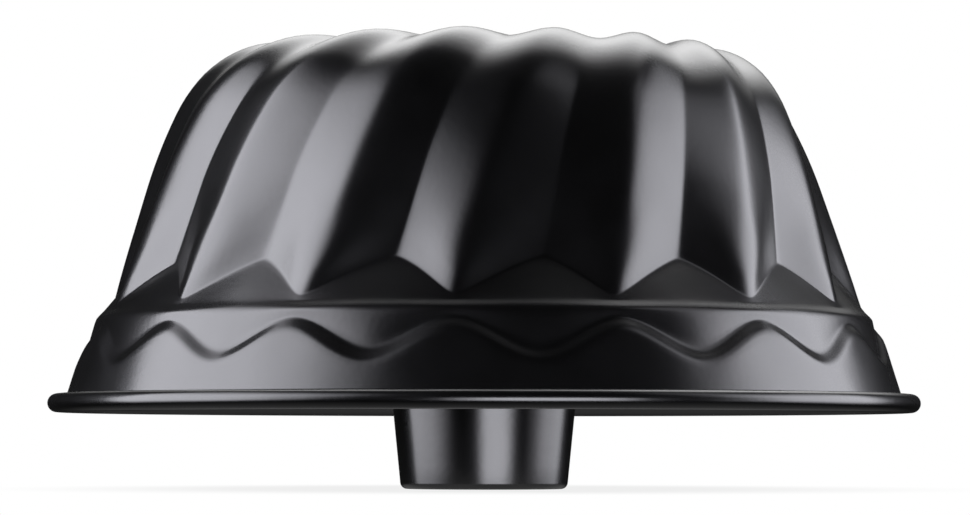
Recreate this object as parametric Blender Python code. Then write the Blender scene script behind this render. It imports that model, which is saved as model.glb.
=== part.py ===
"""Fluted tube pan, standing on the free end of its centre tube. Metres, +Z up.

A pressed steel shell and a tapered centre tube are hooked together by a flat lock seam
in the dished crown, and a wire stiffens the shell's rolled rim. Each profile is drawn
as the middle line of its sheet, from the tube outwards, so the overall sizes add up
from the sizes named here.
"""

import math

import bmesh
import bpy
from mathutils import Matrix, Vector

MM = 0.001

# Sheet, and the clearance between pieces that touch
SHEET = 0.6 * MM
GAP = 0.3 * MM

# Centre tube
TUBE_HEIGHT = 113.1 * MM
TUBE_FOOT_RADIUS = 22.2 * MM
TUBE_TAPER = math.radians(5.7)
FOOT_CORNER = 1.8 * MM
FOOT_LIP = 3.2 * MM

# Lock seam between the tube and the shell
SEAM_WIDTH = 3.6 * MM
SEAM_MARGIN = 1.2 * MM

# Crown, from the seam's land over the crest to the knuckle above the wall
DISH_FILLET = 4.0 * MM
DISH_SLOPE = math.radians(47.4)
CREST_ARC = 20.0 * MM
KNUCKLE_ARC = 20.4 * MM
KNUCKLE_SLOPE = math.radians(40)

# Wall, which bends over from the knuckle, then eases from its top lean to its foot's
WALL_BEND = 41.7 * MM
WALL_TOP_LEAN = math.radians(26)
WALL_FOOT_LEAN = math.radians(17.8)
WALL_CURVED_LENGTH = 21.0 * MM
WALL_STRAIGHT_LENGTH = 33.5 * MM

# Flutes, which start a little way out from the seam's land and deepen down to their foot.
# A turn of 90 degrees would fold their crests or valleys sharp, and a smaller one rounds them.
FLUTES = 16
FLUTE_MARGIN = 3.0 * MM
FLUTE_DEPTH = 5.0 * MM
FLUTE_EASING = 1.6
FLUTE_TWIST = math.radians(20.8)
CREST_TURN = math.radians(67)
VALLEY_TURN = math.radians(82)

# Shoulder that cuts the flutes off, and the collar with its wavy step
SHOULDER_LEAN = math.radians(41)
SHOULDER_LENGTH = 4.4 * MM
COLLAR_LEAN = math.radians(18.3)
BAND_LENGTH = 6.4 * MM
WAVE_HEIGHT = 8.2 * MM
WAVE_STEP = 1.1 * MM
WAVE_RAMP = 2.2 * MM
COLLAR_LENGTH = 15.9 * MM

# Rolled rim
RIM_HEIGHT = 4.9 * MM
RIM_CORNER = 1.3 * MM

# Mesh columns: a flute's own, as shares of its pitch from one crest to the next, and the tube's
FLUTE_COLUMNS = (0.0, 0.1, 0.3, 0.5, 0.7, 0.9)
SHELL_COLUMNS = FLUTES * len(FLUTE_COLUMNS)
TUBE_COLUMNS = 48
WIRE_SIDES = 6
MERGE = 0.01 * MM
SHARP_EDGE = math.radians(30)

# Sizes that follow from the ones above
LAYER = SHEET + GAP
TUBE_TOP = TUBE_HEIGHT - SHEET / 2
TUBE_MIDDLE_RADIUS = TUBE_FOOT_RADIUS - SHEET / 2 / math.cos(TUBE_TAPER)
HOOK_RADIUS = TUBE_MIDDLE_RADIUS + TUBE_TOP * math.tan(TUBE_TAPER) + 2 * LAYER
SEAM_RADIUS = HOOK_RADIUS + SEAM_WIDTH
SEAM_LAND = TUBE_TOP - 3 * LAYER
LAND_RADIUS = SEAM_RADIUS + LAYER + SEAM_MARGIN
ROLL_ARC = (RIM_HEIGHT - SHEET) / 2
WIRE_RADIUS = ROLL_ARC - SHEET / 2 - GAP

# Headings of a profile's middle line, from straight outwards
OUT = 0.0
UP = math.pi / 2
IN = math.pi


def falling(lean):
    """Heading of a line that runs outwards and down at this lean from upright."""
    return lean - UP


def along(heading):
    return Vector((math.cos(heading), math.sin(heading)))


def straight(length, rows=1):
    return length, 0.0, rows


def arc(radius, turn, rows):
    return radius * abs(turn), turn, rows


def walk(start, heading, legs):
    """Stations (point, heading) along legs of (length, turn, rows), each straight or an even arc."""
    stations = [(Vector(start), heading)]
    for length, turn, rows in legs:
        half_turn = turn / rows / 2
        chord = length / rows
        if half_turn:
            chord *= math.sin(half_turn) / half_turn
        for _ in range(rows):
            point, heading = stations[-1]
            step = chord * along(heading + half_turn)
            stations.append((point + step, heading + 2 * half_turn))
    return stations


def polar(radius, azimuth, height):
    return Vector((radius * math.cos(azimuth), radius * math.sin(azimuth), height))


def spun(points, columns, closed=False):
    """The profile turned about Z in even columns, and the layer that numbers its points."""
    bm = bmesh.new()
    row_of = bm.verts.layers.int.new("row")
    verts = [bm.verts.new((point.x, 0.0, point.y)) for point in points]
    for row, vert in enumerate(verts):
        vert[row_of] = row
    edges = [bm.edges.new(pair) for pair in zip(verts, verts[1:])]
    if closed:
        edges.append(bm.edges.new((verts[-1], verts[0])))
    bmesh.ops.spin(
        bm,
        geom=verts + edges,
        axis=(0, 0, 1),
        cent=(0, 0, 0),
        angle=2 * math.pi,
        steps=columns,
        use_merge=True,
    )
    bmesh.ops.remove_doubles(bm, verts=bm.verts, dist=MERGE)
    return bm, row_of


def column_of(vert):
    """The shell column that an evenly spun vertex belongs to."""
    turns = math.atan2(vert.co.y, vert.co.x) / (2 * math.pi)
    return round(turns * SHELL_COLUMNS) % SHELL_COLUMNS


def share_of(column):
    """How far round its flute's pitch a shell column stands, from one crest to the next."""
    return FLUTE_COLUMNS[column % len(FLUTE_COLUMNS)]


def azimuth_of(column):
    """Where a shell column stands before the flutes' twist."""
    flute = column // len(FLUTE_COLUMNS)
    return (flute + share_of(column)) * 2 * math.pi / FLUTES


def valley_share(share):
    """0 on a flute's crest and 1 in its valley, with the crest rounded and the valley crisp."""
    climb = abs(1 - 2 * share)
    turn = VALLEY_TURN + (CREST_TURN - VALLEY_TURN) * climb
    swing = math.asin(math.sin(turn) * math.sin(math.pi * (climb - 0.5)))
    return 0.5 - 0.5 * swing / turn


def tube_profile():
    """From the lip of the foot up the cone, then out and round the seam's upper hook."""
    corner_arc = FOOT_CORNER - SHEET / 2
    corner_turn = UP - TUBE_TAPER
    cone_at_foot = TUBE_MIDDLE_RADIUS + SHEET / 2 * math.tan(TUBE_TAPER)
    corner_start = cone_at_foot - corner_arc * math.tan(corner_turn / 2)
    bend_rise = LAYER * (1 - math.sin(TUBE_TAPER))
    lip = (corner_start - FOOT_LIP, SHEET / 2)
    foot = walk(lip, OUT, [straight(FOOT_LIP), arc(corner_arc, corner_turn, 3)])
    cone_start, cone_heading = foot[-1]
    cone_length = (TUBE_TOP - bend_rise - cone_start.y) / math.cos(TUBE_TAPER)
    cone = walk(cone_start, cone_heading, [straight(cone_length), arc(LAYER, -corner_turn, 2)])
    flange_start, _ = cone[-1]
    flange = straight(SEAM_RADIUS - flange_start.x)
    hook = walk(flange_start, OUT, [flange, arc(LAYER, -IN, 3), straight(SEAM_WIDTH)])
    return [point for point, _ in foot + cone[1:] + hook[1:]]


def seam_and_crown():
    """Rows of the shell's lower hook, its land and the fluted crown, along a flute's crest."""
    hook_start = (SEAM_RADIUS, SEAM_LAND + 2 * LAYER)
    hook = walk(hook_start, IN, [straight(SEAM_WIDTH), arc(LAYER, IN, 3)])
    land = walk(hook[-1][0], OUT, [straight(LAND_RADIUS - HOOK_RADIUS)])
    crown = walk(
        land[-1][0],
        OUT,
        [
            arc(DISH_FILLET, DISH_SLOPE, 1),
            arc(CREST_ARC, -DISH_SLOPE, 3),
            arc(KNUCKLE_ARC, -KNUCKLE_SLOPE, 3),
            arc(WALL_BEND, falling(WALL_TOP_LEAN) + KNUCKLE_SLOPE, 2),
        ],
    )
    return hook + land[1:], crown[1:]


def fluted_wall(start):
    """Rows of the wall under its bend, the last of them at the flutes' foot."""
    lean_gain = WALL_FOOT_LEAN - WALL_TOP_LEAN
    curved = (WALL_CURVED_LENGTH, lean_gain, 2)
    return walk(start, falling(WALL_TOP_LEAN), [curved, straight(WALL_STRAIGHT_LENGTH)])[1:]


def shoulder_and_wave(start):
    """The crease ring under the flutes, and the upper and lower edge of the wavy step."""
    heading = falling(COLLAR_LEAN)
    ring = walk(start, falling(SHOULDER_LEAN), [straight(SHOULDER_LENGTH)])[-1][0]
    upper = ring + BAND_LENGTH * along(heading)
    lower = upper + WAVE_RAMP * along(heading) + WAVE_STEP * along(OUT)
    return [(ring, heading)], [(upper, heading), (lower, heading)]


def collar_and_rim(start):
    """Rows of the plain collar and of the roll round the wire, and the wire's place."""
    heading = falling(COLLAR_LEAN)
    corner = arc(RIM_CORNER, -heading, 2)
    collar = walk(start, heading, [straight(COLLAR_LENGTH), corner])
    foot = collar[1][0]
    mouth = collar[-1][0]

    def wall_at(height):
        return foot.x + (foot.y - height) * math.tan(COLLAR_LEAN)

    wire_height = mouth.y + ROLL_ARC
    wire = Vector((wall_at(wire_height) + ROLL_ARC / math.cos(COLLAR_LEAN), wire_height))
    edge_height = wire_height + ROLL_ARC - SHEET / 2
    edge = wall_at(edge_height) + (SHEET / 2 + GAP) / math.cos(COLLAR_LEAN)
    roll = walk(mouth, OUT, [straight(wire.x - mouth.x), arc(ROLL_ARC, IN, 5), straight(wire.x - edge)])
    return collar[1:] + roll[1:], wire


def plain(point, heading, share):
    return point, point.x


def waved(point, heading, share):
    """Slid up the collar under a crest, and down it under a valley."""
    climb = WAVE_HEIGHT / 2 * math.cos(2 * math.pi * share)
    return point - climb * along(heading), point.x


def inward(heading):
    return Vector((math.sin(heading), -math.cos(heading)))


def fluted(fade):
    """Pressed in towards the valley, by the share of the full depth that the row has."""

    def form(point, heading, share):
        depth = FLUTE_DEPTH * fade * valley_share(share)
        return point + depth * inward(heading), point.x

    return form


def cut_off(point, heading, share):
    """On the fluted wall, where the shoulder's cone cuts it: higher in a valley than on a crest."""
    depth = FLUTE_DEPTH * valley_share(share)
    climb = depth / math.tan(SHOULDER_LEAN - WALL_FOOT_LEAN)
    crest = point - climb * along(heading)
    return crest + depth * inward(heading), crest.x


def depth_share(radius, foot_radius):
    """How much of the flutes' full depth a crest at this radius stands over."""
    inner_radius = LAND_RADIUS + FLUTE_MARGIN
    run = (radius - inner_radius) / (foot_radius - inner_radius)
    return 1 - (1 - max(run, 0.0)) ** FLUTE_EASING


def shell_rows():
    """Every row of the shell as (point, heading, form), the flutes' foot and crest radii, the wire's place."""
    seam, crown = seam_and_crown()
    crest_radius = max((point for point, _ in crown), key=lambda point: point.y).x
    wall = fluted_wall(crown[-1][0])
    foot_radius = wall[-1][0].x
    shoulder, wave = shoulder_and_wave(wall[-1][0])
    rim, wire = collar_and_rim(wave[-1][0])
    rows = [(point, heading, plain) for point, heading in seam]
    for point, heading in crown + wall[:-1]:
        rows.append((point, heading, fluted(depth_share(point.x, foot_radius))))
    rows.append((*wall[-1], cut_off))
    rows += [(*station, plain) for station in shoulder]
    rows += [(*station, waved) for station in wave]
    rows += [(*station, plain) for station in rim]
    return rows, foot_radius, crest_radius, wire


def add_piece(name, bm, material, place=0.0, parent=None):
    """A smooth-shaded object whose origin is on the pan's axis, at this height above the floor."""
    bmesh.ops.transform(bm, matrix=Matrix.Translation((0, 0, -place)), verts=bm.verts)
    mesh = bpy.data.meshes.new(name)
    bm.to_mesh(mesh)
    bm.free()
    mesh.shade_smooth()
    mesh.set_sharp_from_angle(angle=SHARP_EDGE)
    mesh.materials.append(material)
    obj = bpy.data.objects.new(name, mesh)
    bpy.context.scene.collection.objects.link(obj)
    obj.location.z = place
    if parent:
        obj.parent = parent
        obj.location.z -= parent.location.z
    return obj


def give_thickness(obj):
    sheet = obj.modifiers.new("sheet", "SOLIDIFY")
    sheet.thickness = SHEET
    sheet.offset = 0.0
    sheet.use_even_offset = True


def build_tube(material):
    bm, _ = spun(tube_profile(), TUBE_COLUMNS)
    tube = add_piece("centre_tube", bm, material)
    give_thickness(tube)
    return tube


def build_shell(material, tube):
    """The shell, and the wire's place in its rim."""
    rows, foot_radius, crest_radius, wire = shell_rows()
    twist_rate = FLUTE_TWIST / (foot_radius - crest_radius)
    bm, row_of = spun([point for point, _, _ in rows], SHELL_COLUMNS)
    for vert in bm.verts:
        column = column_of(vert)
        point, heading, form = rows[vert[row_of]]
        place, twist_radius = form(point, heading, share_of(column))
        twist = twist_rate * (foot_radius - min(max(twist_radius, LAND_RADIUS), foot_radius))
        vert.co = polar(place.x, azimuth_of(column) + twist, place.y)
    shell = add_piece("fluted_shell", bm, material, SEAM_LAND, tube)
    give_thickness(shell)
    return shell, wire


def build_wire(material, place, shell):
    angles = [2 * math.pi * side / WIRE_SIDES for side in range(WIRE_SIDES)]
    bm, _ = spun([place + WIRE_RADIUS * along(angle) for angle in angles], SHELL_COLUMNS, closed=True)
    for vert in bm.verts:
        vert.co = polar(vert.co.xy.length, azimuth_of(column_of(vert)), vert.co.z)
    bmesh.ops.recalc_face_normals(bm, faces=bm.faces)
    return add_piece("rim_wire", bm, material, place.y, shell)


def clear_scene():
    for obj in list(bpy.data.objects):
        bpy.data.objects.remove(obj)


def finish(name, colour, roughness, metallic):
    material = bpy.data.materials.new(name)
    material.use_nodes = True
    shader = material.node_tree.nodes["Principled BSDF"]
    shader.inputs["Base Color"].default_value = (*colour, 1.0)
    shader.inputs["Roughness"].default_value = roughness
    shader.inputs["Metallic"].default_value = metallic
    return material


clear_scene()
coated_steel = finish("black_nonstick_steel", (0.012, 0.012, 0.014), 0.3, 0.5)
drawn_wire = finish("drawn_steel_wire", (0.35, 0.34, 0.33), 0.4, 1.0)
centre_tube = build_tube(coated_steel)
fluted_shell, wire_place = build_shell(coated_steel, centre_tube)
build_wire(drawn_wire, wire_place, fluted_shell)
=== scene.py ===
"""Looks of the fluted tube pan: its pressed shell, drawn centre tube and rim wire, in black non-stick."""

import math

import bmesh
import bpy
from mathutils import Euler, Matrix, Vector


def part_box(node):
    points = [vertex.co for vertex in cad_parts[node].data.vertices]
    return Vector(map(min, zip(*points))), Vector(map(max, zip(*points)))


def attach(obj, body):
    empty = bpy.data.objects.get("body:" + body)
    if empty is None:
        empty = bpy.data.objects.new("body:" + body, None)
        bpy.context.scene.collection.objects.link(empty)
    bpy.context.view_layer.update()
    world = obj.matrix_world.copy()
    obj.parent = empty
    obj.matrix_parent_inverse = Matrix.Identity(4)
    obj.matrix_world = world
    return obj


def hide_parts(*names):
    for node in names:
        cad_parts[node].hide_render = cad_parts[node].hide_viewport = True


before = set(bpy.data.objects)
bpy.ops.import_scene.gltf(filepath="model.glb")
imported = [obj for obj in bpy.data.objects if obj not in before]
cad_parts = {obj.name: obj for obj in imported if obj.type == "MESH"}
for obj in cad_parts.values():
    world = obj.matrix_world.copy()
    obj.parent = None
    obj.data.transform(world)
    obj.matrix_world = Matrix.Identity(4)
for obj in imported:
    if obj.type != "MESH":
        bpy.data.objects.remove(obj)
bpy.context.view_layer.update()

MM = 0.001

# Sheet, and the clearance round the wire and in the seam
SHEET = 0.6 * MM
GAP = 0.3 * MM
LAYER = SHEET + GAP

# Centre tube
TUBE_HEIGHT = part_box("centre_tube")[1].z
TUBE_FOOT_RADIUS = 22.2 * MM
TUBE_TAPER = math.radians(5.7)
FOOT_CORNER = 1.8 * MM
FOOT_LIP = 3.2 * MM
TUBE_TOP = TUBE_HEIGHT - SHEET / 2
TUBE_MIDDLE_RADIUS = TUBE_FOOT_RADIUS - SHEET / 2 / math.cos(TUBE_TAPER)

# Lock seam between the tube and the shell
SEAM_WIDTH = 3.6 * MM
SEAM_MARGIN = 1.2 * MM
HOOK_RADIUS = TUBE_MIDDLE_RADIUS + TUBE_TOP * math.tan(TUBE_TAPER) + 2 * LAYER
SEAM_RADIUS = HOOK_RADIUS + SEAM_WIDTH
SEAM_LAND = TUBE_TOP - 3 * LAYER
LAND_RADIUS = SEAM_RADIUS + LAYER + SEAM_MARGIN

# Crown, from the seam's land over the crest to the knuckle above the wall
DISH_FILLET = 4.0 * MM
DISH_SLOPE = math.radians(47.4)
CREST_ARC = 20.0 * MM
KNUCKLE_ARC = 20.4 * MM
KNUCKLE_SLOPE = math.radians(40)

# Wall, which bends over from the knuckle, then eases from its top lean to its foot's
WALL_BEND = 41.7 * MM
WALL_TOP_LEAN = math.radians(26)
WALL_FOOT_LEAN = math.radians(17.8)
WALL_CURVED_LENGTH = 21.0 * MM
WALL_STRAIGHT_LENGTH = 33.5 * MM

# Flutes, which deepen and lose their sink over these drops below the crown's top
FLUTES = 16
FLUTE_MARGIN = 3.0 * MM
FLUTE_DEPTH = 5.0 * MM
CROWN_FLUTE_DEPTH = 2.2 * MM
DEEPENING = (4 * MM, 90 * MM)
CROWN_SINK = 0.6 * MM
SINK_FADE = (1 * MM, 9 * MM)
FLUTE_TWIST = math.radians(22.6)
TWIST_GROWTH = 1.07

# How sharply crests and valleys fold, where 90 degrees would be a knife edge
CREST_TURN_ON_CROWN = math.radians(20)
CREST_TURN_ON_WALL = math.radians(66)
CREST_TURN_IN_BULGE = math.radians(25)
CREST_TURN_AT_FOOT = math.radians(50)
VALLEY_TURN_ON_CROWN = math.radians(30)
VALLEY_TURN_ON_WALL = math.radians(86)
VALLEY_TURN_AT_FOOT = math.radians(80)
CUSP_AT_FOOT = 0.8

# Where the folds change: the first by the drop below the crown's top, the rest by the share of the
# way down the straight wall
ONTO_WALL = (2 * MM, 22 * MM)
CREST_BROADENING = (0.25, 0.55)
CREST_TIGHTENING = (0.65, 1.0)
VALLEY_SOFTENING = (0.3, 0.8)
CUSP_GROWTH = (0.6, 1.0)

# Shoulder that cuts the flutes off, and the collar with its wavy step
SHOULDER_LEAN = math.radians(41)
SHOULDER_LENGTH = 4.4 * MM
LEDGE_LEAN = math.radians(46)
LEDGE_LENGTH = 2.7 * MM
COLLAR_LEAN = math.radians(17.4)
BAND_LENGTH = 7.9 * MM
BAND_INSET = 0.3 * MM
WAVE_HEIGHT = 8.2 * MM
WAVE_STEP = 1.6 * MM
WAVE_RAMP = 3.0 * MM
COLLAR_LENGTH = 16.5 * MM

# Rolled rim
RIM_HEIGHT = 4.9 * MM
RIM_CORNER = 1.3 * MM
ROLL_ARC = (RIM_HEIGHT - SHEET) / 2
WIRE_RADIUS = ROLL_ARC - SHEET / 2 - GAP

# Mesh rows along the shell's round profile
HOOK_ROWS = 6
LAND_ROWS = 2
FILLET_ROWS = 4
CREST_ROWS = 9
KNUCKLE_ROWS = 7
BEND_ROWS = 7
CURVED_WALL_ROWS = 7
MOUTH_ROWS = 6
ROLL_ROWS = 16
EDGE_ROWS = 2

# Mesh rows between the shell's guiding edges, and how the edges among them are softened
WALL_ROWS = 16
WALL_CROWDING = 1.5
SHOULDER_ROWS = 8
LEDGE_ROWS = 3
BAND_ROWS = 6
STEP_ROWS = 4
COLLAR_ROWS = 8
SOFT_ROWS = 4
SOFTENINGS = 3

# Mesh rows along the tube's profile
LIP_ROWS = 2
FOOT_CORNER_ROWS = 8
CONE_ROWS = 24
TUBE_BEND_ROWS = 5
FLANGE_ROWS = 3
TUBE_HOOK_ROWS = 8
SEAM_ROWS = 2

# Mesh columns
FLUTE_COLUMNS = 24
SHELL_COLUMNS = FLUTES * FLUTE_COLUMNS
COLUMN_CROWDING = 0.045
TUBE_COLUMNS = 128
WIRE_SIDES = 16
WIRE_COLUMNS = 192
MERGE = 0.01 * MM
SHARP_EDGE = math.radians(50)

# Coating: the ranges of its colour and roughness, and the sizes and full heights of its patterns
COATING_COLOURS = ("#2e2e30", "#3a3a3d")
COATING_ROUGHNESS = (0.33, 0.39)
TOP_COAT_ROUGHNESS = 0.19
TOP_COAT_IOR = 2.1
FLAKE_SIZE = 0.35 * MM
FLAKE_HEIGHT = 0.004 * MM
ORANGE_PEEL_SIZE = 1.5 * MM
ORANGE_PEEL_HEIGHT = 0.008 * MM
PRESS_WAVE_SIZE = 24.0 * MM
PRESS_WAVE_HEIGHT = 0.30 * MM
SPRAY_PATCH_SIZE = 9.0 * MM

# Drawn wire, the same way
WIRE_COLOURS = ("#8f8c87", "#b4b2ae")
WIRE_ROUGHNESS = (0.25, 0.45)
DIE_LINE_SIZE = 0.2 * MM
DIE_LINE_HEIGHT = 0.01 * MM
TARNISH_SIZE = 12.0 * MM

# Most of a noise texture's heights lie between these
NOISE_SPREAD = {"From Min": 0.3, "From Max": 0.7}

# Headings in the plane of a profile
OUT = 0.0
UP = math.pi / 2
IN = math.pi

# Camera: the photograph's frame is 970 pixels wide
IMAGE_WIDTH = 970
SENSOR_WIDTH = 36
CAMERA_FOCAL_PIXELS = 3822
CAMERA_DISTANCE = 1.022
CAMERA_HEIGHT = 11.4 * MM
CAMERA_ASIDE = 0.2 * MM
CAMERA_AZIMUTH = math.radians(4)
CAMERA_TILT = math.radians(2.825)
CAMERA_ROLL = math.radians(0.06)
CLIP_START = 10 * MM

# Studio: the camera sees the floor as nearly white where the shadow zone starts, and plain white
# past its end
FLOOR_RADIUS = 3.0
FLOOR_SIDES = 96
FLOOR_COLOUR = "#c8c8c8"
FLOOR_ROUGHNESS = 0.8
SHADOW_ZONE = (50 * MM, 150 * MM)
WHITE_IN_SHADOW = 0.85
SURROUNDINGS = "#161616"
PAN_MIDDLE = Vector((0, 0, TUBE_HEIGHT / 2))
COOL = "#f8f8ff"
WHITE = "#ffffff"
GLOW_DEPTH = 30 * MM
GLOW_SIZE = 0.4
GLOW_LEVEL = 0.16
GLOW_FADES = (0.4, 0.4)


def falling(lean):
    """Heading of a line that runs outwards and down at this lean from upright."""
    return lean - UP


def along(heading):
    return Vector((math.cos(heading), math.sin(heading)))


def inward(heading):
    return Vector((math.sin(heading), -math.cos(heading)))


def straight(length, rows=1):
    return length, 0.0, rows


def arc(radius, turn, rows):
    return radius * abs(turn), turn, rows


def walk(start, heading, legs):
    """Stations (point, heading) along legs of (length, turn, rows), each straight or an even arc."""
    stations = [(Vector(start), heading)]
    for length, turn, rows in legs:
        half_turn = turn / rows / 2
        chord = length / rows
        if half_turn:
            chord *= math.sin(half_turn) / half_turn
        for _ in range(rows):
            point, heading = stations[-1]
            step = chord * along(heading + half_turn)
            stations.append((point + step, heading + 2 * half_turn))
    return stations


def eased(value, low, high):
    """0 below low, 1 above high and smooth between them."""
    share = min(max((value - low) / (high - low), 0.0), 1.0)
    return share * share * (3 - 2 * share)


def mixed(start, end, share):
    return start + (end - start) * share


def polar(radius, azimuth, height):
    return Vector((radius * math.cos(azimuth), radius * math.sin(azimuth), height))


def spun(points, columns, closed=False):
    """The profile turned about Z in even columns, and the layer that numbers its points."""
    bm = bmesh.new()
    row_of = bm.verts.layers.int.new("row")
    verts = [bm.verts.new((point.x, 0.0, point.y)) for point in points]
    for row, vert in enumerate(verts):
        vert[row_of] = row
    edges = [bm.edges.new(pair) for pair in zip(verts, verts[1:])]
    if closed:
        edges.append(bm.edges.new((verts[-1], verts[0])))
    bmesh.ops.spin(
        bm,
        geom=verts + edges,
        axis=(0, 0, 1),
        cent=(0, 0, 0),
        angle=2 * math.pi,
        steps=columns,
        use_merge=True,
    )
    bmesh.ops.remove_doubles(bm, verts=bm.verts, dist=MERGE)
    return bm, row_of


def column_of(vert):
    """The shell column that an evenly spun vertex belongs to."""
    turns = math.atan2(vert.co.y, vert.co.x) / (2 * math.pi)
    return round(turns * SHELL_COLUMNS) % SHELL_COLUMNS


def share_of(column):
    """How far round its flute's pitch a column stands: they crowd at the crests and valleys."""
    even = column % FLUTE_COLUMNS / FLUTE_COLUMNS
    return even - COLUMN_CROWDING * math.sin(4 * math.pi * even)


def azimuth_of(column):
    """Where a shell column stands before the flutes' twist."""
    return (column // FLUTE_COLUMNS + share_of(column)) * 2 * math.pi / FLUTES


# Geometry of the shell, drawn as the middle line of its sheet from the seam outwards


def seam_and_crown():
    hook_start = (SEAM_RADIUS, SEAM_LAND + 2 * LAYER)
    hook = walk(hook_start, IN, [straight(SEAM_WIDTH), arc(LAYER, IN, HOOK_ROWS)])
    land = walk(hook[-1][0], OUT, [straight(LAND_RADIUS - HOOK_RADIUS, LAND_ROWS)])
    crown = walk(
        land[-1][0],
        OUT,
        [
            arc(DISH_FILLET, DISH_SLOPE, FILLET_ROWS),
            arc(CREST_ARC, -DISH_SLOPE, CREST_ROWS),
            arc(KNUCKLE_ARC, -KNUCKLE_SLOPE, KNUCKLE_ROWS),
            arc(WALL_BEND, falling(WALL_TOP_LEAN) + KNUCKLE_SLOPE, BEND_ROWS),
        ],
    )
    return hook + land[1:], crown[1:]


def fluted_wall(start):
    curved = (WALL_CURVED_LENGTH, WALL_FOOT_LEAN - WALL_TOP_LEAN, CURVED_WALL_ROWS)
    return walk(start, falling(WALL_TOP_LEAN), [curved, straight(WALL_STRAIGHT_LENGTH)])[1:]


def collar_guides(tip):
    """The crease ring, the middle of the wavy step and the collar's foot."""
    heading = falling(COLLAR_LEAN)
    ring = tip + SHOULDER_LENGTH * along(falling(SHOULDER_LEAN))
    wave = ring + BAND_LENGTH * along(heading) + (WAVE_STEP / 2 - BAND_INSET) * along(OUT)
    foot = wave + COLLAR_LENGTH * along(heading) + WAVE_STEP / 2 * along(OUT)
    return ring, wave, foot


def rim(foot):
    """The corner at the mouth and the roll round the wire, and the wire's place."""
    heading = falling(COLLAR_LEAN)
    corner = walk(foot, heading, [arc(RIM_CORNER, -heading, MOUTH_ROWS)])
    mouth = corner[-1][0]

    def wall_at(height):
        return foot.x + (foot.y - height) * math.tan(COLLAR_LEAN)

    wire_height = mouth.y + ROLL_ARC
    wire = Vector((wall_at(wire_height) + ROLL_ARC / math.cos(COLLAR_LEAN), wire_height))
    edge_height = wire_height + ROLL_ARC - SHEET / 2
    edge = wall_at(edge_height) + (SHEET / 2 + GAP) / math.cos(COLLAR_LEAN)
    roll = walk(
        mouth,
        OUT,
        [
            straight(wire.x - mouth.x),
            arc(ROLL_ARC, IN, ROLL_ROWS),
            straight(wire.x - edge, EDGE_ROWS),
        ],
    )
    return corner[1:] + roll[1:], wire


# How the flutes' section changes over the shell


def valley_share(share, crest_turn, valley_turn, cusp=1.0):
    """0 on a flute's crest and 1 in its valley. The flank is nearly flat, or below a cusp of 1 hollow."""
    climb = abs(1 - 2 * share)
    turn = mixed(valley_turn, crest_turn, climb)
    swing = math.asin(math.sin(turn) * math.sin(math.pi * (climb - 0.5)))
    return max(0.5 - 0.5 * swing / turn, 0.0) ** cusp


def flute_depth(crest_radius, top_radius, drop):
    """How far the crests are pressed in, and how much further the valleys are.

    The flutes rise out of the dish up to the crown's top and deepen down the wall.
    """
    rise = eased(crest_radius, LAND_RADIUS + FLUTE_MARGIN, top_radius)
    sink = mixed(CROWN_SINK, 0.0, eased(drop, *SINK_FADE))
    depth = mixed(CROWN_FLUTE_DEPTH, FLUTE_DEPTH, eased(drop, *DEEPENING))
    return rise * sink, rise * depth


def turns_below_top(drop):
    """The folds' sharpness this far below the crown's top: soft, then crisp in the valleys."""
    onto_wall = eased(drop, *ONTO_WALL)
    crest_turn = mixed(CREST_TURN_ON_CROWN, CREST_TURN_ON_WALL, onto_wall)
    return crest_turn, mixed(VALLEY_TURN_ON_CROWN, VALLEY_TURN_ON_WALL, onto_wall)


def turns_down_wall(step):
    """The folds' sharpness down the straight wall: a crest broadens, then tightens into a tip."""
    broad_crest = mixed(CREST_TURN_ON_WALL, CREST_TURN_IN_BULGE, eased(step, *CREST_BROADENING))
    crest_turn = mixed(broad_crest, CREST_TURN_AT_FOOT, eased(step, *CREST_TIGHTENING))
    valley_turn = mixed(VALLEY_TURN_ON_WALL, VALLEY_TURN_AT_FOOT, eased(step, *VALLEY_SOFTENING))
    return crest_turn, valley_turn, mixed(1.0, CUSP_AT_FOOT, eased(step, *CUSP_GROWTH))


# A row of the shell tells, for a share of a flute's pitch, its place and the radius that it twists by


def plain(point):
    def row(share):
        return point, point.x

    return row


def fluted(crest, heading, sink, depth, turns):
    """Pressed in from the crest towards the valley, by the depth that the flutes have here."""

    def row(share):
        return crest + (sink + depth * valley_share(share, *turns)) * inward(heading), crest.x

    return row


def cut_wall(start, heading, start_depth, step):
    """This share of the way down the straight wall to where the shoulder cuts it, higher in a valley."""
    climb_rate = 1 / math.tan(SHOULDER_LEAN - WALL_FOOT_LEAN)
    depth = mixed(start_depth, FLUTE_DEPTH, step)
    turns = turns_down_wall(step)
    turns_at_cut = turns_down_wall(1)

    def row(share):
        climb = climb_rate * FLUTE_DEPTH * valley_share(share, *turns_at_cut)
        cut = start + (WALL_STRAIGHT_LENGTH - climb) * along(heading)
        crest = mixed(start, cut, step)
        return crest + depth * valley_share(share, *turns) * inward(heading), crest.x

    return row


def waved(middle, heading, side):
    """The wavy step's edge above (-1) or below (1) its middle line, which climbs under each crest."""
    half_ramp = (WAVE_RAMP * along(heading) + WAVE_STEP * along(OUT)) / 2
    steepest = WAVE_HEIGHT * FLUTES / 2 / middle.x

    def row(share):
        turn = 2 * math.pi * share
        climb = WAVE_HEIGHT / 2 * math.cos(turn)
        widening = math.hypot(1, steepest * math.sin(turn))
        return middle - climb * along(heading) + side * widening * half_ramp, middle.x

    return row


def between(start_row, end_row, steps):
    """The rows that stand these shares of the way from one row to another."""

    def row_at(step):
        def row(share):
            start, start_radius = start_row(share)
            end, end_radius = end_row(share)
            return mixed(start, end, step), mixed(start_radius, end_radius, step)

        return row

    return [row_at(step) for step in steps]


def even_steps(count):
    return [step / count for step in range(1, count)]


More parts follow.
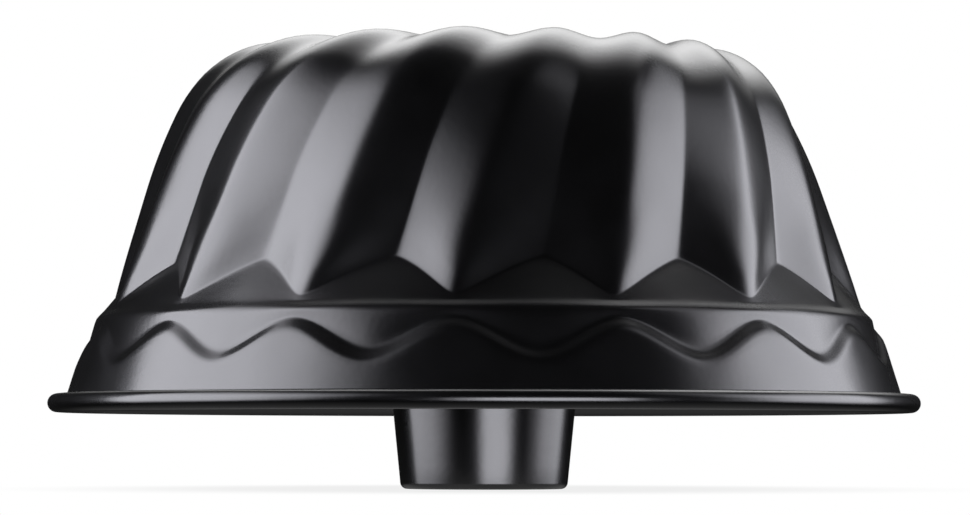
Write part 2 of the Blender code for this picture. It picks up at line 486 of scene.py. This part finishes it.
def steps_close_at_end(count):
    return [1 - (1 - step / count) ** WALL_CROWDING for step in range(1, count)]


def steps_close_at_both(count):
    return [0.5 - 0.5 * math.cos(math.pi * step / count) for step in range(1, count)]


def shell_rows():
    """The shell's rows, which of them to soften, the wall foot's and the top's radii, and the wire."""
    seam, crown = seam_and_crown()
    wall = fluted_wall(crown[-1][0])
    straight_start, _ = wall[-2]
    tip, tip_heading = wall[-1]
    top = max((point for point, _ in crown), key=lambda point: point.y)
    ring, wave, foot = collar_guides(tip)
    rim_stations, wire = rim(foot)
    heading = falling(COLLAR_LEAN)

    rows = [plain(point) for point, _ in seam]
    for point, slope in crown + wall[:-1]:
        drop = top.y - point.y
        rows.append(fluted(point, slope, *flute_depth(point.x, top.x, drop), turns_below_top(drop)))
    _, start_depth = flute_depth(straight_start.x, top.x, top.y - straight_start.y)
    for step in steps_close_at_end(WALL_ROWS):
        rows.append(cut_wall(straight_start, tip_heading, start_depth, step))
    soft_from = len(rows) - SOFT_ROWS
    wall_foot = cut_wall(straight_start, tip_heading, start_depth, 1)
    rows.append(wall_foot)
    ledge = ring - LEDGE_LENGTH * along(falling(LEDGE_LEAN))
    rows += between(wall_foot, plain(ledge), steps_close_at_both(SHOULDER_ROWS))
    rows.append(plain(ledge))
    rows += between(plain(ledge), plain(ring), even_steps(LEDGE_ROWS))
    rows.append(plain(ring))
    upper = waved(wave, heading, -1)
    lower = waved(wave, heading, 1)
    rows += between(plain(ring), upper, steps_close_at_both(BAND_ROWS))
    rows.append(upper)
    rows += between(upper, lower, even_steps(STEP_ROWS))
    rows.append(lower)
    soft_to = len(rows) + SOFT_ROWS
    rows += between(lower, plain(foot), steps_close_at_both(COLLAR_ROWS))
    rows.append(plain(foot))
    rows += [plain(point) for point, _ in rim_stations]
    return rows, range(soft_from, soft_to), tip.x, top.x, wire


# Pieces


def add_piece(name, bm, material, node):
    """A smooth-shaded piece in place of a node of the frame."""
    mesh = bpy.data.meshes.new(name)
    bm.to_mesh(mesh)
    bm.free()
    mesh.shade_smooth()
    mesh.set_sharp_from_angle(angle=SHARP_EDGE)
    mesh.materials.append(material)
    piece = bpy.data.objects.new(name, mesh)
    bpy.context.scene.collection.objects.link(piece)
    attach(piece, "root")
    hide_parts(node)
    return piece


def give_thickness(piece):
    sheet = piece.modifiers.new("sheet", "SOLIDIFY")
    sheet.thickness = SHEET
    sheet.offset = 0.0
    sheet.use_even_offset = True


def build_shell(material):
    """The pressed sheet, whose flutes twist round as they run up and in. It gives the wire's place."""
    rows, soft_rows, foot_radius, top_radius, wire = shell_rows()
    twisted_width = foot_radius - top_radius
    bm, row_of = spun([row(0.0)[0] for row in rows], SHELL_COLUMNS)
    for vert in bm.verts:
        column = column_of(vert)
        place, twist_radius = rows[vert[row_of]](share_of(column))
        run = (foot_radius - min(max(twist_radius, LAND_RADIUS), foot_radius)) / twisted_width
        twist = FLUTE_TWIST * run ** TWIST_GROWTH
        vert.co = polar(place.x, azimuth_of(column) + twist, place.y)
    soft = [vert for vert in bm.verts if vert[row_of] in soft_rows]
    for _ in range(SOFTENINGS):
        bmesh.ops.smooth_vert(
            bm,
            verts=soft,
            factor=0.5,
            use_axis_x=True,
            use_axis_y=True,
            use_axis_z=True,
        )
    give_thickness(add_piece("pressed_shell", bm, material, "fluted_shell"))
    return wire


def tube_profile():
    """From the lip of the foot up the cone, then out and round the seam's upper hook."""
    corner_arc = FOOT_CORNER - SHEET / 2
    corner_turn = UP - TUBE_TAPER
    cone_at_foot = TUBE_MIDDLE_RADIUS + SHEET / 2 * math.tan(TUBE_TAPER)
    corner_start = cone_at_foot - corner_arc * math.tan(corner_turn / 2)
    bend_rise = LAYER * (1 - math.sin(TUBE_TAPER))
    lip_start = (corner_start - FOOT_LIP, SHEET / 2)
    lip = straight(FOOT_LIP, LIP_ROWS)
    foot = walk(lip_start, OUT, [lip, arc(corner_arc, corner_turn, FOOT_CORNER_ROWS)])
    cone_start, cone_heading = foot[-1]
    cone_length = (TUBE_TOP - bend_rise - cone_start.y) / math.cos(TUBE_TAPER)
    bend = arc(LAYER, -corner_turn, TUBE_BEND_ROWS)
    cone = walk(cone_start, cone_heading, [straight(cone_length, CONE_ROWS), bend])
    flange_start, _ = cone[-1]
    flange = straight(SEAM_RADIUS - flange_start.x, FLANGE_ROWS)
    fold = arc(LAYER, -IN, TUBE_HOOK_ROWS)
    hook = walk(flange_start, OUT, [flange, fold, straight(SEAM_WIDTH, SEAM_ROWS)])
    return [point for point, _ in foot + cone[1:] + hook[1:]]


def build_tube(material):
    bm, _ = spun(tube_profile(), TUBE_COLUMNS)
    give_thickness(add_piece("drawn_tube", bm, material, "centre_tube"))


def build_wire(material, place):
    angles = [2 * math.pi * side / WIRE_SIDES for side in range(WIRE_SIDES)]
    bm, _ = spun([place + WIRE_RADIUS * along(angle) for angle in angles], WIRE_COLUMNS, closed=True)
    bmesh.ops.recalc_face_normals(bm, faces=bm.faces)
    add_piece("drawn_wire", bm, material, "rim_wire")


# Finishes


def linear(hex_colour):
    """An sRGB hex colour as linear red, green, blue and alpha."""
    channels = [int(hex_colour[start:start + 2], 16) / 255 for start in (1, 3, 5)]
    return (*[c / 12.92 if c <= 0.04045 else ((c + 0.055) / 1.055) ** 2.4 for c in channels], 1.0)


def add_node(tree, kind, settings=None, values=None, links=None):
    """A node with its settings, its sockets' values and the links into its sockets."""
    node = tree.nodes.new(kind)
    for name, setting in (settings or {}).items():
        setattr(node, name, setting)
    for socket, value in (values or {}).items():
        node.inputs[socket].default_value = value
    for socket, source in (links or {}).items():
        tree.links.new(source, node.inputs[socket])
    return node


def new_material(name):
    material = bpy.data.materials.new(name)
    material.use_nodes = True
    tree = material.node_tree
    return material, tree, tree.nodes["Principled BSDF"]


def black_nonstick():
    """Sprayed non-stick coat: black, with a soft grey glow of metal flake under a satin clear top coat.

    The sheet's slight waves from the press and the spray's orange peel keep the lamps' reflections
    from being dead straight. The flakes are a few hundredths of a millimetre wide, and are drawn
    ten times as coarse to show at all.
    """
    material, tree, shader = new_material("sprayed_nonstick_coating")
    place = add_node(tree, "ShaderNodeTexCoord").outputs["Object"]
    noises = []
    for size, detail in (
        (FLAKE_SIZE, 1.0),
        (ORANGE_PEEL_SIZE, 0.0),
        (PRESS_WAVE_SIZE, 1.0),
        (SPRAY_PATCH_SIZE, 2.0),
    ):
        values = {"Scale": 1 / size, "Detail": detail}
        noise = add_node(tree, "ShaderNodeTexNoise", values=values, links={"Vector": place})
        noises.append(noise.outputs["Fac"])
    flakes, peel, waves, patches = noises

    flake_share = add_node(tree, "ShaderNodeMapRange", values=NOISE_SPREAD, links={"Value": flakes})
    dark, pale = COATING_COLOURS
    colour = add_node(
        tree,
        "ShaderNodeMix",
        {"data_type": "RGBA"},
        {"A": linear(dark), "B": linear(pale)},
        {"Factor": flake_share.outputs[0]},
    )
    smooth, rough = COATING_ROUGHNESS
    roughness = add_node(
        tree,
        "ShaderNodeMapRange",
        values={**NOISE_SPREAD, "To Min": smooth, "To Max": rough},
        links={"Value": patches},
    )
    pressed = add_node(
        tree,
        "ShaderNodeBump",
        values={"Distance": PRESS_WAVE_HEIGHT},
        links={"Height": waves},
    )
    sprayed = add_node(
        tree,
        "ShaderNodeBump",
        values={"Distance": ORANGE_PEEL_HEIGHT},
        links={"Height": peel, "Normal": pressed.outputs[0]},
    )
    flaked = add_node(
        tree,
        "ShaderNodeBump",
        values={"Distance": FLAKE_HEIGHT},
        links={"Height": flakes, "Normal": sprayed.outputs[0]},
    )
    shader.inputs["Metallic"].default_value = 1.0
    shader.inputs["Coat Weight"].default_value = 1.0
    shader.inputs["Coat IOR"].default_value = TOP_COAT_IOR
    shader.inputs["Coat Roughness"].default_value = TOP_COAT_ROUGHNESS
    tree.links.new(colour.outputs["Result"], shader.inputs["Base Color"])
    tree.links.new(roughness.outputs[0], shader.inputs["Roughness"])
    tree.links.new(sprayed.outputs[0], shader.inputs["Coat Normal"])
    tree.links.new(flaked.outputs[0], shader.inputs["Normal"])
    return material


def drawn_steel():
    """Bare drawn wire: bright grey steel, with fine lines along it from the die."""
    material, tree, shader = new_material("drawn_steel_wire")
    place = add_node(tree, "ShaderNodeTexCoord").outputs["Object"]
    x, y, z = add_node(tree, "ShaderNodeSeparateXYZ", links={0: place}).outputs
    flat = add_node(tree, "ShaderNodeCombineXYZ", links={0: x, 1: y})
    radius = add_node(
        tree,
        "ShaderNodeVectorMath",
        {"operation": "LENGTH"},
        links={0: flat.outputs[0]},
    )
    section = add_node(tree, "ShaderNodeCombineXYZ", links={0: radius.outputs["Value"], 1: z})
    noises = []
    for size, vector in ((DIE_LINE_SIZE, section.outputs[0]), (TARNISH_SIZE, place)):
        values = {"Scale": 1 / size, "Detail": 2.0}
        noise = add_node(tree, "ShaderNodeTexNoise", values=values, links={"Vector": vector})
        noises.append(noise.outputs["Fac"])
    lines, tarnish = noises

    brightness = add_node(tree, "ShaderNodeMapRange", values=NOISE_SPREAD, links={"Value": tarnish})
    dark, pale = WIRE_COLOURS
    colour = add_node(
        tree,
        "ShaderNodeMix",
        {"data_type": "RGBA"},
        {"A": linear(dark), "B": linear(pale)},
        {"Factor": brightness.outputs[0]},
    )
    smooth, rough = WIRE_ROUGHNESS
    roughness = add_node(
        tree,
        "ShaderNodeMapRange",
        values={**NOISE_SPREAD, "To Min": smooth, "To Max": rough},
        links={"Value": lines},
    )
    lined = add_node(
        tree,
        "ShaderNodeBump",
        values={"Distance": DIE_LINE_HEIGHT},
        links={"Height": lines},
    )
    shader.inputs["Metallic"].default_value = 1.0
    tree.links.new(colour.outputs["Result"], shader.inputs["Base Color"])
    tree.links.new(roughness.outputs[0], shader.inputs["Roughness"])
    tree.links.new(lined.outputs[0], shader.inputs["Normal"])
    return material


# Studio


def add_camera():
    """At the photograph's viewing angle: low, a little to the side of a crest, with a long lens."""
    data = bpy.data.cameras.new("camera")
    data.sensor_width = SENSOR_WIDTH
    data.lens = CAMERA_FOCAL_PIXELS * SENSOR_WIDTH / IMAGE_WIDTH
    data.clip_start = CLIP_START
    camera = bpy.data.objects.new("camera", data)
    bpy.context.scene.collection.objects.link(camera)
    aside = Vector((math.cos(CAMERA_AZIMUTH), math.sin(CAMERA_AZIMUTH), 0))
    back = Vector((math.sin(CAMERA_AZIMUTH), -math.cos(CAMERA_AZIMUTH), 0))
    place = CAMERA_DISTANCE * back + CAMERA_ASIDE * aside + Vector((0, 0, CAMERA_HEIGHT))
    turn = Euler((UP + CAMERA_TILT, 0, CAMERA_AZIMUTH)).to_matrix().to_4x4()
    camera.matrix_world = Matrix.Translation(place) @ turn @ Matrix.Rotation(CAMERA_ROLL, 4, "Z")
    bpy.context.scene.camera = camera


def bearing(azimuth, elevation):
    """Direction at this azimuth, in degrees from the camera's side to the right, and this elevation."""
    turn = CAMERA_AZIMUTH + math.radians(azimuth) - UP
    rise = math.radians(elevation)
    return Vector((math.cos(turn) * math.cos(rise), math.sin(turn) * math.cos(rise), math.sin(rise)))


def fade_edges(lamp, widths):
    """Fades a flat lamp's light towards its edges, over these shares of its size, as its cloth does."""
    lamp.use_nodes = True
    tree = lamp.node_tree
    place = add_node(tree, "ShaderNodeNewGeometry")
    across = add_node(tree, "ShaderNodeSeparateXYZ", links={0: place.outputs["Parametric"]})
    fades = []
    for axis, (near, far) in enumerate(widths):
        for edge, full in ((0.0, near), (1.0, 1.0 - far)):
            fade = add_node(
                tree,
                "ShaderNodeMapRange",
                {"interpolation_type": "SMOOTHSTEP"},
                {"From Min": edge, "From Max": full},
                {"Value": across.outputs[axis]},
            )
            fades.append(fade.outputs[0])
    strength = fades[0]
    for fade in fades[1:]:
        links = {0: strength, 1: fade}
        strength = add_node(tree, "ShaderNodeMath", {"operation": "MULTIPLY"}, links=links).outputs[0]
    tree.links.new(strength, tree.nodes["Emission"].inputs["Strength"])


def add_lamp(name, place, facing, width, height, level, colour):
    """A flat lamp, at level 1 as bright as white paper, that faces this way."""
    data = bpy.data.lights.new(name, "AREA")
    data.color = linear(colour)[:3]
    data.shape = "RECTANGLE"
    data.size = width
    data.size_y = height
    data.energy = level * math.pi * width * height
    lamp = bpy.data.objects.new(name, data)
    bpy.context.scene.collection.objects.link(lamp)
    lamp.location = place
    lamp.rotation_euler = facing.to_track_quat("-Z", "Y").to_euler()
    return lamp


def add_soft_box(name, azimuth, elevation, distance, sides, fades, level, colour):
    """A soft box in the plane that faces the pan from this bearing and distance.

    sides are its left, right, bottom and top as the pan sees them, in metres from the plane's middle,
    and fades is how far in from each of these sides its light is full.
    """
    left, right, bottom, top = sides
    left_fade, right_fade, bottom_fade, top_fade = fades
    away = bearing(azimuth, elevation)
    width = right - left
    height = top - bottom
    lamp = add_lamp(name, PAN_MIDDLE + distance * away, -away, width, height, level, colour)
    # The lamp's own X axis runs from right to left as the pan sees it
    turn = lamp.rotation_euler.to_matrix()
    lamp.location += turn @ Vector((-(left + right) / 2, (bottom + top) / 2, 0))
    widths = ((right_fade / width, left_fade / width), (bottom_fade / height, top_fade / height))
    fade_edges(lamp.data, widths)


def add_lamps():
    """Soft boxes on both sides and above, and low cards in front.

    They reach below the floor, which reflections don't show, as their mirror image in a white table
    would, and the glow under the floor is what such a table throws up at the rim.
    """
    add_soft_box(
        "left_soft_box",
        azimuth=-85,
        elevation=20,
        distance=1.2,
        sides=(-1.5, 0.6, -1.1, 1.09),
        fades=(1.3, 0.12, 0.7, 0.97),
        level=2.55,
        colour=COOL,
    )
    add_soft_box(
        "right_soft_box",
        azimuth=100,
        elevation=20,
        distance=1.2,
        sides=(-0.68, 0.95, -1.1, 0.62),
        fades=(0.42, 0.7, 0.7, 0.6),
        level=2.2,
        colour=COOL,
    )
    add_soft_box(
        "overhead_soft_box",
        azimuth=180,
        elevation=60,
        distance=1.1,
        sides=(-0.65, 0.9, -1.25, 0.8),
        fades=(0.4, 0.5, 1.15, 1.0),
        level=2.15,
        colour=WHITE,
    )
    add_soft_box(
        "side_veil",
        azimuth=72,
        elevation=42,
        distance=1.2,
        sides=(-0.4, 0.35, -0.3, 0.4),
        fades=(0.3, 0.3, 0.3, 0.3),
        level=0.32,
        colour=COOL,
    )
    add_soft_box(
        "low_front_card",
        azimuth=16,
        elevation=-2,
        distance=1.3,
        sides=(-0.68, 0.68, -0.6, 0.31),
        fades=(0.5, 0.4, 0.25, 0.22),
        level=2.6,
        colour=COOL,
    )
    add_soft_box(
        "low_side_card",
        azimuth=72,
        elevation=-4,
        distance=1.3,
        sides=(-0.42, 0.42, -0.4, 0.3),
        fades=(0.35, 0.35, 0.2, 0.25),
        level=0.3,
        colour=COOL,
    )
    below = Vector((0, 0, -GLOW_DEPTH))
    upwards = Vector((0, 0, 1))
    table_glow = add_lamp("table_glow", below, upwards, GLOW_SIZE, GLOW_SIZE, GLOW_LEVEL, WHITE)
    fade_edges(table_glow.data, (GLOW_FADES, GLOW_FADES))


def floor_material():
    """Matt grey that keeps the pan's shadow, and turns white to the camera away from the pan."""
    material, tree, shader = new_material("studio_floor")
    shader.inputs["Base Color"].default_value = linear(FLOOR_COLOUR)
    shader.inputs["Roughness"].default_value = FLOOR_ROUGHNESS
    white = add_node(tree, "ShaderNodeEmission", values={"Color": linear(WHITE)})
    place = add_node(tree, "ShaderNodeTexCoord").outputs["Object"]
    distance = add_node(
        tree,
        "ShaderNodeVectorMath",
        {"operation": "LENGTH"},
        links={0: place},
    )
    zone_start, zone_end = SHADOW_ZONE
    whiteness = add_node(
        tree,
        "ShaderNodeMapRange",
        {"interpolation_type": "SMOOTHSTEP"},
        {"From Min": zone_start, "From Max": zone_end, "To Min": WHITE_IN_SHADOW, "To Max": 1.0},
        {"Value": distance.outputs["Value"]},
    )
    paths = add_node(tree, "ShaderNodeLightPath")
    links = {0: paths.outputs["Is Camera Ray"], 1: whiteness.outputs[0]}
    share = add_node(tree, "ShaderNodeMath", {"operation": "MULTIPLY"}, links=links)
    links = {0: share.outputs[0], 1: shader.outputs[0], 2: white.outputs[0]}
    mix = add_node(tree, "ShaderNodeMixShader", links=links)
    tree.links.new(mix.outputs[0], tree.nodes["Material Output"].inputs["Surface"])
    return material


def add_floor():
    bm = bmesh.new()
    bmesh.ops.create_circle(bm, cap_ends=True, segments=FLOOR_SIDES, radius=FLOOR_RADIUS)
    mesh = bpy.data.meshes.new("floor")
    bm.to_mesh(mesh)
    bm.free()
    mesh.materials.append(floor_material())
    floor = bpy.data.objects.new("floor", mesh)
    bpy.context.scene.collection.objects.link(floor)
    floor.visible_glossy = False


def add_world():
    """White behind the pan as the camera sees it, and dim for everything else."""
    world = bpy.data.worlds.new("studio")
    world.use_nodes = True
    bpy.context.scene.world = world
    tree = world.node_tree
    dim = tree.nodes["Background"]
    dim.inputs["Color"].default_value = linear(SURROUNDINGS)
    white = add_node(tree, "ShaderNodeBackground", values={"Color": linear(WHITE), "Strength": 1.0})
    paths = add_node(tree, "ShaderNodeLightPath")
    links = {0: paths.outputs["Is Camera Ray"], 1: dim.outputs[0], 2: white.outputs[0]}
    mix = add_node(tree, "ShaderNodeMixShader", links=links)
    tree.links.new(mix.outputs[0], tree.nodes["World Output"].inputs["Surface"])


coating = black_nonstick()
wire_place = build_shell(coating)
build_tube(coating)
build_wire(drawn_steel(), wire_place)
add_camera()
add_world()
add_floor()
add_lamps()
bpy.context.scene.view_settings.view_transform = "Standard"
